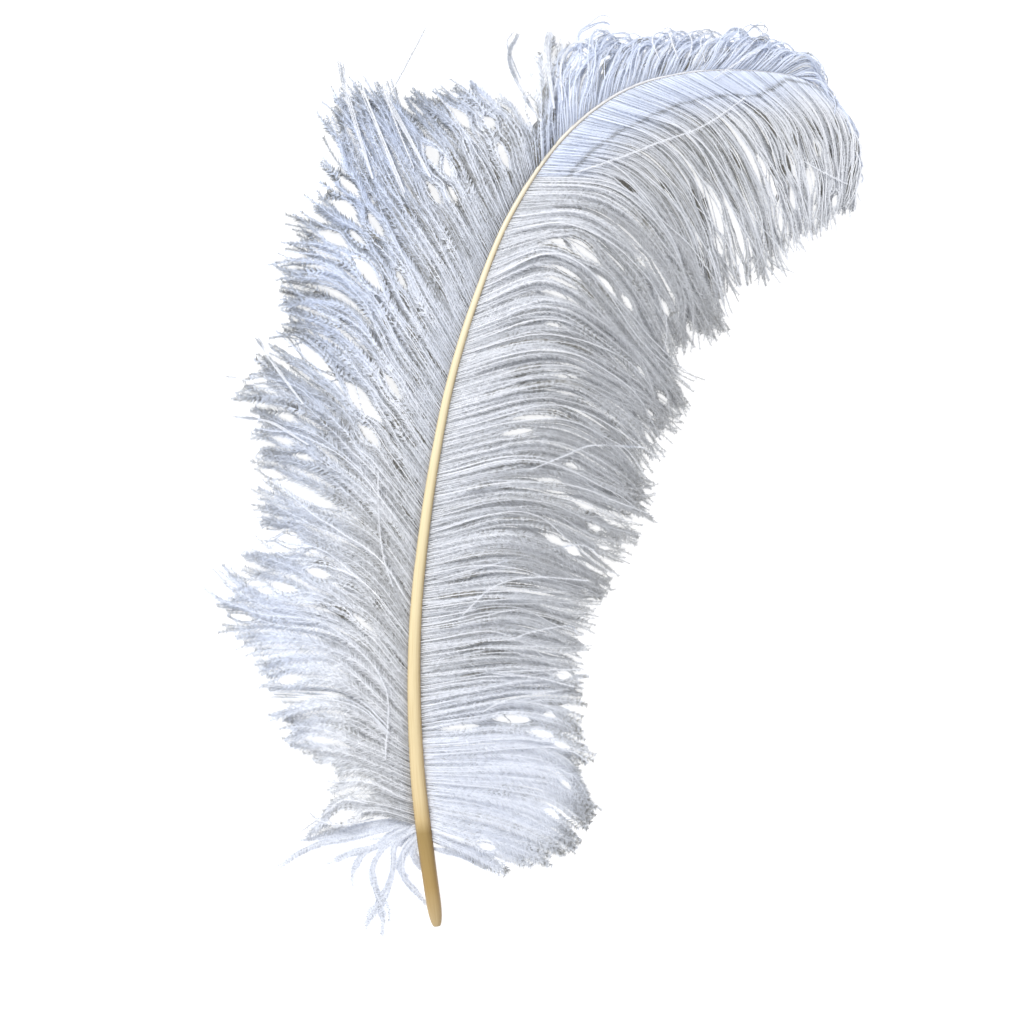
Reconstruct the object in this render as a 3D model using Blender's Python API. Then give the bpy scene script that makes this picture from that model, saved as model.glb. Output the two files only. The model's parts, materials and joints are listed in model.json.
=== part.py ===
"""A white ostrich plume lying face up on a table, in metres, +Z up.

A feather grows as one piece, so this is one solid: the horny quill, the shaft it runs into, and
the two vanes, whose barbs hang together in locks. The quill points to -Y, the shaft runs up +Y
and bends over to +X at its tip. The shaft arches off the table; the locks hang from it on both
sides and end on the table. Each lock is a thin lens-shaped blade that starts inside the shaft.
"""
import math
import random

import bmesh
import bpy
import numpy as np

MM = 0.001

# Driving dimensions, in millimetres. Plans are (x, y) seen from above.
SHAFT_PLAN = [(-57, -247), (-62.5, -208), (-67.4, -164), (-69.3, -120), (-68.4, -76), (-64.1, -32),
              (-57.5, 12), (-48.4, 56), (-34.9, 100), (-16.5, 145), (11, 186.5), (44, 213.5),
              (80, 225), (118, 227), (149, 222), (166, 208), (172, 190)]
QUILL_WIDTH = 8.8         # widest, where the vanes begin
QUILL_NARROW_WIDTH = 8.3  # where its point begins
QUILL_END_WIDTH = 3.0     # blunt end of the bare quill
QUILL_POINT_LENGTH = 16   # over which the quill narrows to its end
VANES_BEGIN = 50          # distance from the quill's end to the first barbs
SHAFT_TIP_WIDTH = 0.6
SHAFT_TAPER = 1.2         # 1 is a straight cone, more is slimmer towards the tip
SHAFT_FLATNESS = 0.9      # depth of the shaft over its width
ARCH_BEGIN = 25           # the quill lies on the table up to this distance from its end
ARCH_HEIGHT = 27          # how far the middle of the shaft stands off the table
ARCH_POWER = 1.25         # 1 is a plain sine arch, more eases in at its ends
TIP_HEIGHT = 2.0          # height of the middle of the shaft's tip

# Barbs that were picked out by eye: where each leaves the shaft, as a distance from the quill's
# end along the shaft, and then the points that it passes, ending at its tip.
LEFT_BARBS = [
    (56, (-92, -183), (-112, -188), (-134, -200)),
    (66, (-99, -171), (-118, -176)),
    (80, (-104, -152), (-137, -146)),
    (96, (-108, -127), (-148, -126)),
    (112, (-112, -96), (-160, -92)),
    (121, (-112, -87), (-180, -73)),
    (131, (-111, -78), (-181, -64)),
    (142, (-106, -68), (-168, -42)),
    (160, (-100, -50), (-150, -28)),
    (182, (-97, -28), (-156, -8)),
    (205, (-93, -5), (-126, 21), (-157, 34)),
    (222, (-107, 30), (-158, 70)),
    (245, (-98, 48), (-150, 84)),
    (277, (-77, 61), (-107, 100), (-142, 117)),
    (300, (-70, 85), (-100, 126), (-136, 141)),
    (322, (-64, 105), (-92, 149), (-115, 192)),
    (348, (-52, 130), (-77, 172), (-100, 214)),
    (374, (-49, 160), (-70, 193), (-88, 208)),
    (400, (-33, 182), (-58, 212)),
    (424, (-16, 198), (-38, 217)),
    (437, (3, 206), (6, 246)),
    (450, (11, 210), (19, 234), (33, 242)),
    (479, (36, 221), (44, 236), (60, 242)),
    (515, (72, 238), (86, 247)),
    (549, (110, 240), (124, 250)),
    (582, (145, 236), (162, 219)),
    (612, (170, 205), (179, 172)),
    (638, (178, 180), (176, 160)),
]
RIGHT_BARBS = [
    (50, (-45, -206), (-30, -217)),
    (58, (-30, -199), (-2, -202)),
    (70, (-22, -185), (12, -195)),
    (94, (-12, -152), (12, -157), (22, -172)),
    (108, (-20, -136), (8, -142), (22, -142)),
    (116, (-20, -121), (18, -120)),
    (140, (-22, -103), (18, -108)),
    (161, (-22, -80), (20, -90)),
    (183, (-16, -60), (30, -70)),
    (217, (-11, -20), (43, -46)),
    (238, (-8, -2), (59, -18)),
    (261, (0, 25), (40, 10), (60, -12)),
    (295, (5, 59), (40, 45), (68, 24)),
    (330, (3, 92), (38, 75), (70, 42)),
    (358, (11, 119), (55, 72), (76, 44)),
    (385, (11, 136), (44, 116), (71, 72)),
    (412, (33, 153), (66, 125), (90, 84)),
    (450, (55, 177), (84, 140), (96, 90)),
    (475, (74, 186), (100, 150), (114, 112)),
    (493, (88, 193), (114, 153), (130, 108)),
    (538, (126, 199), (141, 165), (147, 134)),
    (576, (151, 199), (160, 170), (160, 141)),
    (602, (168, 193), (170, 147)),
    (634, (176, 178), (171, 152)),
]
# Down at the foot of the vanes: loose strands, each from its start to its tip.
DOWN_STRANDS = [
    [(-64, -190), (-92, -193), (-122, -199), (-143, -212)],
    [(-64, -196), (-88, -202), (-104, -207), (-118, -211)],
    [(-64, -199), (-86, -204), (-100, -212), (-107, -226)],
    [(-64, -194), (-84, -206), (-93, -216), (-92, -229), (-86, -252)],
    [(-63, -200), (-78, -206), (-83, -222), (-90, -237), (-99, -250)],
    [(-63, -203), (-74, -206), (-77, -216), (-71, -226), (-62, -236)],
    [(-63, -197), (-69, -203), (-70, -211), (-65, -218)],
    [(-63, -199), (-48, -205), (-31, -217)],
    [(-63, -196), (-44, -203), (-15, -214)],
]
DOWN_STRAND_WIDTH = 3.4
# Where the vanes have parted, as distances along the shaft.
LEFT_PARTINGS = [138, 155, 180, 235, 305, 385]
RIGHT_PARTINGS = [110, 232, 245, 268, 362, 377, 480, 525]

LOCK_SPACING = 18         # along the shaft
LOCK_OVERLAP = 1.2        # width of a lock over its spacing: neighbours lie on each other
PARTING_WIDTH = 3.5       # how far a lock draws back from a parting, along the shaft
PARTING_BEGIN = 1 / 3     # share of a lock's length where the parting has its full width
LOCK_FULLNESS = 5         # higher keeps a lock wide for longer before it narrows to its tip
WIDEST_HALF_LOCK = 12
NARROWEST_HALF_LOCK = 1.2
LOCK_THICKNESS = 2.6
LOCK_THICKNESS_TIP = 0.9
THIN_SHAFT = 3            # locks get thinner at the root where the shaft is slimmer than this
LOCK_STAGGER = 0.5        # neighbours lie this much above and below each other
LOCK_STEPS = 8            # stretches along a lock
ROOT_DEPTHS = (0.45, 0.6)  # how far locks start past the shaft's middle, over its half width
DROOP = 1.8               # 1 is a straight slope from shaft to tip, more hangs later
STEEPEST_SAG = 0.42       # most that a barb drops, over its length
LENGTH_SPREAD = 0.05      # how far the locks' lengths differ

SHAFT_SIDES = 8
SHAFT_STEPS = 34
QUILL_POINT_STEPS = 6
SMOOTH_SAMPLES = 40       # samples between two points of a plan


def smooth(points, count):
    """Evenly spaced points on a smooth (Catmull-Rom) curve through the given points."""
    points = np.array(points, dtype=float)
    ends = 2 * points[0] - points[1], 2 * points[-1] - points[-2]
    knots = np.vstack([ends[0], points, ends[1]])
    t = np.linspace(0, 1, SMOOTH_SAMPLES, endpoint=False)[:, None]
    spans = []
    for a, b, c, d in zip(knots, knots[1:], knots[2:], knots[3:]):
        spans.append(0.5 * (2 * b + (c - a) * t + (2 * a - 5 * b + 4 * c - d) * t ** 2
                            + (3 * b - a - 3 * c + d) * t ** 3))
    curve = np.vstack([*spans, points[-1:]])
    run = run_along(curve)
    wanted = np.linspace(0, run[-1], count)
    return np.stack([np.interp(wanted, run, axis) for axis in curve.T], axis=1)


def run_along(curve):
    """Distance of each point of a curve from its start, along the curve."""
    return np.concatenate([[0], np.cumsum(np.linalg.norm(np.diff(curve, axis=0), axis=1))])


SHAFT_CURVE = smooth(SHAFT_PLAN, 400)
SHAFT_RUN = run_along(SHAFT_CURVE)
SHAFT_LENGTH = SHAFT_RUN[-1]


def shaft_plan_at(distance):
    """Place of the shaft's middle line in plan, at a distance from the quill's end."""
    return np.array([np.interp(distance, SHAFT_RUN, axis) for axis in SHAFT_CURVE.T])


def shaft_width(distance):
    """Width of the quill and shaft at a distance from the quill's end."""
    if distance < QUILL_POINT_LENGTH:
        rounding = math.sqrt(1 - (1 - distance / QUILL_POINT_LENGTH) ** 2)
        return QUILL_END_WIDTH + (QUILL_NARROW_WIDTH - QUILL_END_WIDTH) * rounding
    if distance < VANES_BEGIN:
        share = (distance - QUILL_POINT_LENGTH) / (VANES_BEGIN - QUILL_POINT_LENGTH)
        return QUILL_NARROW_WIDTH + (QUILL_WIDTH - QUILL_NARROW_WIDTH) * share
    share = min(1.0, (distance - VANES_BEGIN) / (SHAFT_LENGTH - VANES_BEGIN))
    return max(SHAFT_TIP_WIDTH, QUILL_WIDTH * (1 - share) ** SHAFT_TAPER)


def shaft_height(distance):
    """Height of the shaft's middle line: flat along the quill, an arch, and down to the tip."""
    rest = SHAFT_FLATNESS * shaft_width(ARCH_BEGIN) / 2 * math.cos(math.pi / SHAFT_SIDES)
    share = min(1.0, max(0.0, distance - ARCH_BEGIN) / (SHAFT_LENGTH - ARCH_BEGIN))
    ends = rest + (TIP_HEIGHT - rest) * share
    return ends + ARCH_HEIGHT * math.sin(math.pi * share) ** ARCH_POWER


def read_vane(barbs):
    """Distances at which the picked barbs leave the shaft, and their courses from there."""
    starts = np.array([barb[0] for barb in barbs], dtype=float)
    courses = []
    for start, *points in barbs:
        root = shaft_plan_at(start)
        courses.append(smooth([root, *points], LOCK_STEPS + 1) - root)
    return starts, np.array(courses)


def barb_point(vane, start, step, stretch=1.0):
    """One point of the barb that leaves the shaft at start, read between the picked barbs."""
    starts, courses = vane
    reach = [np.interp(start, starts, courses[:, step, axis]) for axis in (0, 1)]
    tip = [np.interp(start, starts, courses[:, -1, axis]) for axis in (0, 1)]
    plan = shaft_plan_at(start) + stretch * np.array(reach)
    share = step / LOCK_STEPS
    root_height = shaft_height(start)
    tip_height = max(0.0, root_height - STEEPEST_SAG * math.hypot(*tip))
    height = tip_height + (root_height - tip_height) * (1 - share ** DROOP)
    return np.array([plan[0], plan[1], height])


def lock_edges(first, last, partings):
    """Edges of the locks along the shaft, about LOCK_SPACING apart, with one at each parting."""
    edges = [first]
    for stop in [*partings, last]:
        count = max(1, round((stop - edges[-1]) / LOCK_SPACING))
        edges.extend(np.linspace(edges[-1], stop, count + 1)[1:].tolist())
    return edges


def leftward(course, step):
    """Level direction to the left of a course, for one who travels along it."""
    ahead = course[step + 1] - course[max(step - 1, 0)]
    return np.array([-ahead[1], ahead[0], 0]) / math.hypot(ahead[0], ahead[1])


def skin(shape, loops):
    """Close the sides between loops of points, one after another, and the first loop."""
    shape.faces.new(loops[0])
    for near, far in zip(loops, loops[1:]):
        for i in range(len(near)):
            shape.faces.new((near[i], near[i - 1], far[i - 1], far[i]))


def face_outwards(shape):
    """Cut the faces of a closed shape into triangles that all face out."""
    bmesh.ops.triangulate(shape, faces=shape.faces)
    bmesh.ops.recalc_face_normals(shape, faces=shape.faces)
    return shape


def blade(course, left_widths, right_widths, thicknesses):
    """A lens-shaped blade along a course, ending in a point, kept on or above the table."""
    shape = bmesh.new()
    loops = []
    for step, thickness in enumerate(thicknesses):
        left = leftward(course, step)
        up = np.array([0, 0, thickness / 2])
        centre = np.array([*course[step][:2], max(course[step][2], thickness / 2)])
        ring = [centre + left_widths[step] * left, centre + up,
                centre - right_widths[step] * left, centre - up]
        loops.append([shape.verts.new(point * MM) for point in ring])
    skin(shape, loops)
    tip = shape.verts.new(course[-1] * MM)
    for i in range(4):
        shape.faces.new((loops[-1][i], loops[-1][i - 1], tip))
    return face_outwards(shape)


def lock_shape(vane, low, high, parted, quill_on_left, upper, stretch):
    """One lock, rooted between two distances along the shaft, drawing in to a single point."""
    middle = (low + high) / 2
    share = np.arange(LOCK_STEPS + 1) / LOCK_STEPS
    course = np.array([barb_point(vane, middle, step, stretch) for step in range(LOCK_STEPS + 1)])
    widths = {"low": [], "high": []}
    for step in range(LOCK_STEPS):
        narrowing = 1 - share[step] ** LOCK_FULLNESS
        for side, sign in (("low", -1), ("high", 1)):
            opening = PARTING_WIDTH * min(1, share[step] / PARTING_BEGIN) if parted[side] else 0
            edge = middle + sign * ((high - low) / 2 * LOCK_OVERLAP - opening)
            across = barb_point(vane, edge, step, stretch) - course[step]
            reach = abs(leftward(course, step) @ across)
            reach = min(WIDEST_HALF_LOCK, max(NARROWEST_HALF_LOCK, reach))
            widths[side].append(narrowing * reach)
    thicknesses = LOCK_THICKNESS + (LOCK_THICKNESS_TIP - LOCK_THICKNESS) * share[:-1]
    thicknesses *= 0.5 + 0.5 * np.minimum(1, shaft_width(middle) / THIN_SHAFT + share[:-1])
    stagger = LOCK_STAGGER if upper else -LOCK_STAGGER
    course[:, 2] += stagger * np.sin(math.pi * share)
    outward = (course[1] - course[0]) / np.linalg.norm(course[1] - course[0])
    course[0] -= ROOT_DEPTHS[upper] * shaft_width(middle) / 2 * outward
    order = ("low", "high") if quill_on_left else ("high", "low")
    return blade(course, widths[order[0]], widths[order[1]], thicknesses)


def strand_shape(points):
    """One loose strand of down, from the shaft's side to the table."""
    share = np.arange(LOCK_STEPS + 1) / LOCK_STEPS
    drop = shaft_height(VANES_BEGIN) - LOCK_THICKNESS_TIP
    heights = LOCK_THICKNESS_TIP + drop * (1 - share) ** 2
    course = np.column_stack([smooth(points, LOCK_STEPS + 1), heights])
    half_widths = DOWN_STRAND_WIDTH / 2 * (1 - 0.5 * share[:-1])
    return blade(course, half_widths, half_widths, 2 * half_widths)


def shaft_shape():
    """Quill and shaft: an oval tube along the arched middle line, closed at both ends."""
    shape = bmesh.new()
    loops = []
    turn = np.linspace(0, math.pi / 2, QUILL_POINT_STEPS + 1)[:-1]
    stations = [*(QUILL_POINT_LENGTH * (1 - np.cos(turn))),
                *np.linspace(QUILL_POINT_LENGTH, SHAFT_LENGTH, SHAFT_STEPS)]
    for station in stations:
        ahead = shaft_plan_at(station + 1) - shaft_plan_at(station - 1)
        left = np.array([-ahead[1], ahead[0]]) / np.linalg.norm(ahead)
        half = shaft_width(station) / 2
        loop = []
        for side in range(SHAFT_SIDES):
            angle = 2 * math.pi * (side + 0.5) / SHAFT_SIDES
            plan = shaft_plan_at(station) + left * half * math.cos(angle)
            height = shaft_height(station) + SHAFT_FLATNESS * half * math.sin(angle)
            loop.append(shape.verts.new((plan[0] * MM, plan[1] * MM, height * MM)))
        loops.append(loop)
    skin(shape, loops)
    shape.faces.new(loops[-1])
    return face_outwards(shape)


def as_object(name, shape, material, collection):
    """Turn a bmesh into a named object with one material."""
    mesh = bpy.data.meshes.new(name)
    shape.to_mesh(mesh)
    shape.free()
    mesh.materials.append(material)
    thing = bpy.data.objects.new(name, mesh)
    collection.objects.link(thing)
    return thing


def finish(name, colour, roughness):
    """A plain material in one colour."""
    material = bpy.data.materials.new(name)
    material.use_nodes = True
    shader = material.node_tree.nodes["Principled BSDF"]
    shader.inputs["Base Color"].default_value = (*colour, 1)
    shader.inputs["Roughness"].default_value = roughness
    material.diffuse_color = (*colour, 1)
    return material


def vane_shapes(barbs, partings, quill_on_left, chance):
    """The locks of one vane, from the quill to the tip."""
    vane = read_vane(barbs)
    edges = lock_edges(barbs[0][0], barbs[-1][0], partings)
    shapes = []
    for i, (low, high) in enumerate(zip(edges, edges[1:])):
        parted = {"low": low in partings, "high": high in partings}
        stretch = 1 - LENGTH_SPREAD * chance.random()
        shapes.append(lock_shape(vane, low, high, parted, quill_on_left, i % 2, stretch))
    return shapes


def build_feather():
    """Grow the locks from the shaft as one solid."""
    scene = bpy.context.scene
    barb_white = finish("barb_white", (0.86, 0.89, 0.94), 0.6)
    shaft_cream = finish("shaft_cream", (0.87, 0.79, 0.55), 0.35)
    feather = as_object("feather", shaft_shape(), shaft_cream, scene.collection)
    feather.data.materials.append(barb_white)

    locks = bpy.data.collections.new("locks")
    scene.collection.children.link(locks)
    chance = random.Random(7)
    shapes = vane_shapes(LEFT_BARBS, LEFT_PARTINGS, True, chance)
    shapes += vane_shapes(RIGHT_BARBS, RIGHT_PARTINGS, False, chance)
    shapes += [strand_shape(points) for points in DOWN_STRANDS]
    for i, shape in enumerate(shapes):
        as_object(f"lock_{i}", shape, barb_white, locks)

    fuse = feather.modifiers.new("fuse", "BOOLEAN")
    fuse.operation = "UNION"
    fuse.operand_type = "COLLECTION"
    fuse.collection = locks
    fuse.solver = "EXACT"
    fuse.material_mode = "TRANSFER"
    fused = feather.evaluated_get(bpy.context.evaluated_depsgraph_get())
    solid = bpy.data.meshes.new_from_object(fused)
    feather.modifiers.clear()
    feather.data = solid
    for lock in list(locks.objects):
        bpy.data.objects.remove(lock)
    bpy.data.collections.remove(locks)


for thing in list(bpy.data.objects):
    bpy.data.objects.remove(thing)
build_feather()
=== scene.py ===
"""The looks of a white ostrich plume that lies face up on a pale table."""
import json

import bpy
import numpy as np
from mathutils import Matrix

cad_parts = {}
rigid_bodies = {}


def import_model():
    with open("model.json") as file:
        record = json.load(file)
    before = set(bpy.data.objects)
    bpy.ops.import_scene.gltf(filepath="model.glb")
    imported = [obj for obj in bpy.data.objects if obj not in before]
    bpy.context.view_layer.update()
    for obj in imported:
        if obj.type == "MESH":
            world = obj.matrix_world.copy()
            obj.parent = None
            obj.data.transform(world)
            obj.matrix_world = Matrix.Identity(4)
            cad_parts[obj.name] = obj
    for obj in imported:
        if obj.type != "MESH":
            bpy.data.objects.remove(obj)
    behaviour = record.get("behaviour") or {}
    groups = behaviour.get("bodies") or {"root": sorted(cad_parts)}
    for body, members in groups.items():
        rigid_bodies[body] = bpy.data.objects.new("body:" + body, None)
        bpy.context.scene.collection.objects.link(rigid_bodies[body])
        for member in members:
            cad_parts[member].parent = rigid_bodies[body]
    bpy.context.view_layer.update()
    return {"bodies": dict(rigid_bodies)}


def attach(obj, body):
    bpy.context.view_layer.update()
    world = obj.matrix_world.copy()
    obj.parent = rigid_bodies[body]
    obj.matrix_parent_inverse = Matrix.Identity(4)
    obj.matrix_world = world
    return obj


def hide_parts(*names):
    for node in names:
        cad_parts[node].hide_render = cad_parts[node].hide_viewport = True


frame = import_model()
body = sorted(frame["bodies"])[0]

# ---- Quill and shaft ---------------------------------------------------------------------
# The spine of the plume: the bare horny quill that sat in the skin, and the pithy shaft that it
# runs into, with a hard smooth skin over it. It grew first, and every barb is rooted in its
# sides. Sizes are in millimetres along the curve from the quill's end, and (x, y) from above.
MM = 0.001
SHAFT_PLAN = [(-57, -247), (-62.5, -208), (-67.4, -164), (-69.3, -120), (-68.4, -76), (-64.1, -32),
              (-57.5, 12), (-48.4, 56), (-34.9, 100), (-16.5, 145), (11, 186.5), (44, 213.5),
              (80, 225), (118, 227), (149, 222), (166, 208), (172, 190)]
QUILL_WIDTH = 8.8
QUILL_NARROW_WIDTH = 8.3
QUILL_END_WIDTH = 3.0
QUILL_POINT_LENGTH = 16
VANES_BEGIN = 50
SHAFT_TIP_WIDTH = 0.6
SHAFT_TAPER = 1.2
SHAFT_FLATNESS = 0.9
ARCH_BEGIN = 25
ARCH_HEIGHT = 27
ARCH_POWER = 1.25
TIP_HEIGHT = 2.0


def run_along(curve):
    """Distance of each point of a curve from its start, along the curve."""
    return np.concatenate([[0], np.cumsum(np.linalg.norm(np.diff(curve, axis=0), axis=1))])


def smooth(points, count, samples=40):
    """Evenly spaced points on a smooth (Catmull-Rom) curve through the given points."""
    points = np.array(points, dtype=float)
    knots = np.vstack([2 * points[0] - points[1], points, 2 * points[-1] - points[-2]])
    t = np.linspace(0, 1, samples, endpoint=False)[:, None]
    spans = []
    for a, b, c, d in zip(knots, knots[1:], knots[2:], knots[3:]):
        spans.append(0.5 * (2 * b + (c - a) * t + (2 * a - 5 * b + 4 * c - d) * t ** 2
                            + (3 * b - a - 3 * c + d) * t ** 3))
    curve = np.vstack([*spans, points[-1:]])
    run = run_along(curve)
    wanted = np.linspace(0, run[-1], count)
    return np.stack([np.interp(wanted, run, axis) for axis in curve.T], axis=1)


SHAFT_CURVE = smooth(SHAFT_PLAN, 800)
SHAFT_RUN = run_along(SHAFT_CURVE)
SHAFT_LENGTH = SHAFT_RUN[-1]


def shaft_plan_at(distance):
    """Plan of the shaft's middle line at distances from the quill's end."""
    return np.stack([np.interp(distance, SHAFT_RUN, axis) for axis in SHAFT_CURVE.T], axis=-1)


def shaft_width(distance):
    """Width of the quill and shaft at distances from the quill's end."""
    point = np.clip(distance / QUILL_POINT_LENGTH, 0, 1)
    rounding = np.sqrt(1 - (1 - point) ** 2)
    widening = np.clip((distance - QUILL_POINT_LENGTH) / (VANES_BEGIN - QUILL_POINT_LENGTH), 0, 1)
    quill = (QUILL_END_WIDTH + (QUILL_NARROW_WIDTH - QUILL_END_WIDTH) * rounding
             + (QUILL_WIDTH - QUILL_NARROW_WIDTH) * widening)
    taper = 1 - np.clip((distance - VANES_BEGIN) / (SHAFT_LENGTH - VANES_BEGIN), 0, 1)
    return np.where(distance < VANES_BEGIN, quill,
                    np.maximum(SHAFT_TIP_WIDTH, QUILL_WIDTH * taper ** SHAFT_TAPER))


def shaft_height(distance):
    """Height of the shaft's middle line: flat along the quill, an arch, and down to the tip."""
    rest = SHAFT_FLATNESS * shaft_width(np.float64(ARCH_BEGIN)) / 2
    share = np.clip((distance - ARCH_BEGIN) / (SHAFT_LENGTH - ARCH_BEGIN), 0, 1)
    arch = ARCH_HEIGHT * np.maximum(np.sin(np.pi * share), 0) ** ARCH_POWER
    return rest + (TIP_HEIGHT - rest) * share + arch


def link_mesh(name, points, triangles, material, values, bake_map):
    """Make a piece from arrays, with numbers kept at its points and a flat map at its corners."""
    mesh = bpy.data.meshes.new(name)
    mesh.vertices.add(len(points))
    mesh.vertices.foreach_set("co", (points * MM).astype(np.float32).ravel())
    mesh.loops.add(3 * len(triangles))
    mesh.loops.foreach_set("vertex_index", triangles.astype(np.int32).ravel())
    mesh.polygons.add(len(triangles))
    mesh.polygons.foreach_set("loop_start", np.arange(0, 3 * len(triangles), 3, dtype=np.int32))
    mesh.update(calc_edges=True)
    for word, numbers in values.items():
        layer = mesh.attributes.new(word, "FLOAT", "POINT")
        layer.data.foreach_set("value", numbers.astype(np.float32))
    layer = mesh.uv_layers.new(name="OFBake")
    layer.uv.foreach_set("vector", bake_map[triangles.ravel()].astype(np.float32).ravel())
    mesh.materials.append(material)
    piece = bpy.data.objects.new(name, mesh)
    bpy.context.scene.collection.objects.link(piece)
    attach(piece, body)
    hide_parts("feather")
    return piece


def node_of(tree, kind, **settings):
    """A shader node with its settings."""
    node = tree.nodes.new(kind)
    for word, value in settings.items():
        setattr(node, word, value)
    return node


def attribute_of(tree, word):
    """The number that the mesh keeps under a word."""
    return node_of(tree, "ShaderNodeAttribute", attribute_name=word).outputs["Fac"]


def colours_by(tree, word, stops):
    """Colours that blend between stops of the number that the mesh keeps under a word."""
    ramp = node_of(tree, "ShaderNodeValToRGB")
    elements = ramp.color_ramp.elements
    for element, (place, colour) in zip(elements, (stops[0], stops[-1])):
        element.position = place
        element.color = (*colour, 1)
    for place, colour in stops[1:-1]:
        elements.new(place).color = (*colour, 1)
    tree.links.new(attribute_of(tree, word), ramp.inputs["Fac"])
    return ramp.outputs["Color"]


def tinted(tree, colour, tint, amount):
    """A colour multiplied by a tint, as far as the amount tells."""
    mix = node_of(tree, "ShaderNodeMix", data_type="RGBA", blend_type="MULTIPLY")
    mix.inputs["B"].default_value = (*tint, 1)
    tree.links.new(amount, mix.inputs["Factor"])
    tree.links.new(colour, mix.inputs["A"])
    return mix.outputs["Result"]


def horn():
    """Smooth horn: brown at the bare quill, cream along the shaft, white at the tip."""
    material = bpy.data.materials.new("horn")
    material.use_nodes = True
    tree = material.node_tree
    shader = tree.nodes["Principled BSDF"]
    shader.inputs["Roughness"].default_value = 0.36
    colour = colours_by(tree, "along", [
        (0.0, (0.52, 0.40, 0.22)), (0.035, (0.40, 0.27, 0.10)), (0.082, (0.36, 0.25, 0.09)),
        (0.094, (0.62, 0.47, 0.24)), (0.115, (0.74, 0.60, 0.35)), (0.35, (0.80, 0.70, 0.45)),
        (0.62, (0.80, 0.73, 0.54)), (0.70, (0.80, 0.77, 0.68)), (0.77, (0.79, 0.81, 0.85)),
        (1.0, (0.76, 0.80, 0.90))])

    # Brown streaks run along it. Its sides are painted darker than its top, most on its right: painted
    # shade of its rounding, under a light from the upper left.
    stretch = node_of(tree, "ShaderNodeMath", operation="MULTIPLY")
    stretch.inputs[1].default_value = 6
    tree.links.new(attribute_of(tree, "along"), stretch.inputs[0])
    place = node_of(tree, "ShaderNodeCombineXYZ")
    tree.links.new(stretch.outputs[0], place.inputs[0])
    tree.links.new(attribute_of(tree, "around"), place.inputs[1])
    streaks = node_of(tree, "ShaderNodeTexNoise")
    streaks.inputs["Scale"].default_value = 5
    streaks.inputs["Detail"].default_value = 4
    tree.links.new(place.outputs[0], streaks.inputs["Vector"])
    amount = node_of(tree, "ShaderNodeMapRange")
    amount.inputs["From Min"].default_value = 0.45
    amount.inputs["From Max"].default_value = 0.75
    amount.inputs["To Max"].default_value = 0.55
    tree.links.new(streaks.outputs["Fac"], amount.inputs["Value"])
    colour = tinted(tree, colour, (0.80, 0.74, 0.62), amount.outputs[0])
    # painted shade: darker, browner sides where the round shaft turns away from the light
    colour = tinted(tree, colour, (0.58, 0.46, 0.30), attribute_of(tree, "rim"))
    tree.links.new(colour, shader.inputs["Base Color"])
    bump = node_of(tree, "ShaderNodeBump")
    bump.inputs["Strength"].default_value = 0.15
    bump.inputs["Distance"].default_value = 0.0003
    tree.links.new(streaks.outputs["Fac"], bump.inputs["Height"])
    tree.links.new(bump.outputs["Normal"], shader.inputs["Normal"])
    return material


SHAFT_SIDES = 32
POINT_STATIONS = 13       # cross-sections in the quill's point
SHAFT_STATIONS = 260      # and in the rest
SECTION_POWER = 0.9       # 1 is an oval, less is boxier
GROOVE_DEPTH = 0.22       # of the groove under the shaft, over its half width
GROOVE_WIDTH = 0.3        # over the half width too
GROOVE_RUN_IN = 25        # from where the vanes begin

turn = np.linspace(0, np.pi / 2, POINT_STATIONS, endpoint=False)
stations = np.concatenate([QUILL_POINT_LENGTH * (1 - np.cos(turn)),
                           np.linspace(QUILL_POINT_LENGTH, SHAFT_LENGTH, SHAFT_STATIONS)])
ahead = shaft_plan_at(stations + 0.5) - shaft_plan_at(stations - 0.5)
ahead /= np.linalg.norm(ahead, axis=1)[:, None]
sideways = np.stack([-ahead[:, 1], ahead[:, 0]], axis=1)
angle = 2 * np.pi * np.arange(SHAFT_SIDES) / SHAFT_SIDES
half_widths = shaft_width(stations)[:, None] / 2
across = np.sign(np.cos(angle)) * np.abs(np.cos(angle)) ** SECTION_POWER
upward = np.sign(np.sin(angle)) * np.abs(np.sin(angle)) ** SECTION_POWER
groove = GROOVE_DEPTH * np.exp(-(across / GROOVE_WIDTH) ** 2) * (upward < 0)
grooved = np.clip((stations - VANES_BEGIN) / GROOVE_RUN_IN, 0, 1)[:, None]
plan = shaft_plan_at(stations)[:, None] + sideways[:, None] * (half_widths * across)[..., None]
height = shaft_height(stations)[:, None] + SHAFT_FLATNESS * half_widths * (upward + grooved * groove)
points = np.concatenate([plan, height[..., None]], axis=2).reshape(-1, 3)
rows, columns = np.meshgrid(np.arange(len(stations) - 1), np.arange(SHAFT_SIDES), indexing="ij")
corner = rows * SHAFT_SIDES + columns
beside = rows * SHAFT_SIDES + (columns + 1) % SHAFT_SIDES
near = np.stack([corner, beside + SHAFT_SIDES, beside], axis=-1).reshape(-1, 3)
far = np.stack([corner, corner + SHAFT_SIDES, beside + SHAFT_SIDES], axis=-1).reshape(-1, 3)
fan = np.arange(1, SHAFT_SIDES - 1)
last = (len(stations) - 1) * SHAFT_SIDES
quill_end = np.stack([np.zeros_like(fan), fan, fan + 1], axis=1)
shaft_end = np.stack([np.full_like(fan, last), last + fan + 1, last + fan], axis=1)
along = np.repeat(stations / SHAFT_LENGTH, SHAFT_SIDES)
# painted shade on the shaft's rounded sides, darkest on its right, away from the light at the upper left
rim = np.interp(-across, [-1, -0.7, 0.2, 0.75, 1], [0.35, 0.05, 0, 0.4, 0.85])
values = {"along": along, "around": np.tile(angle, len(stations)), "rim": np.tile(rim, len(stations))}
bake_map = np.stack([along, np.tile(0.5 + 0.5 * np.sin(angle / 2), len(stations))], axis=1)
shaft = link_mesh("shaft", points, np.concatenate([near, far, quill_end, shaft_end]), horn(), values,
                  bake_map)

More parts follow.
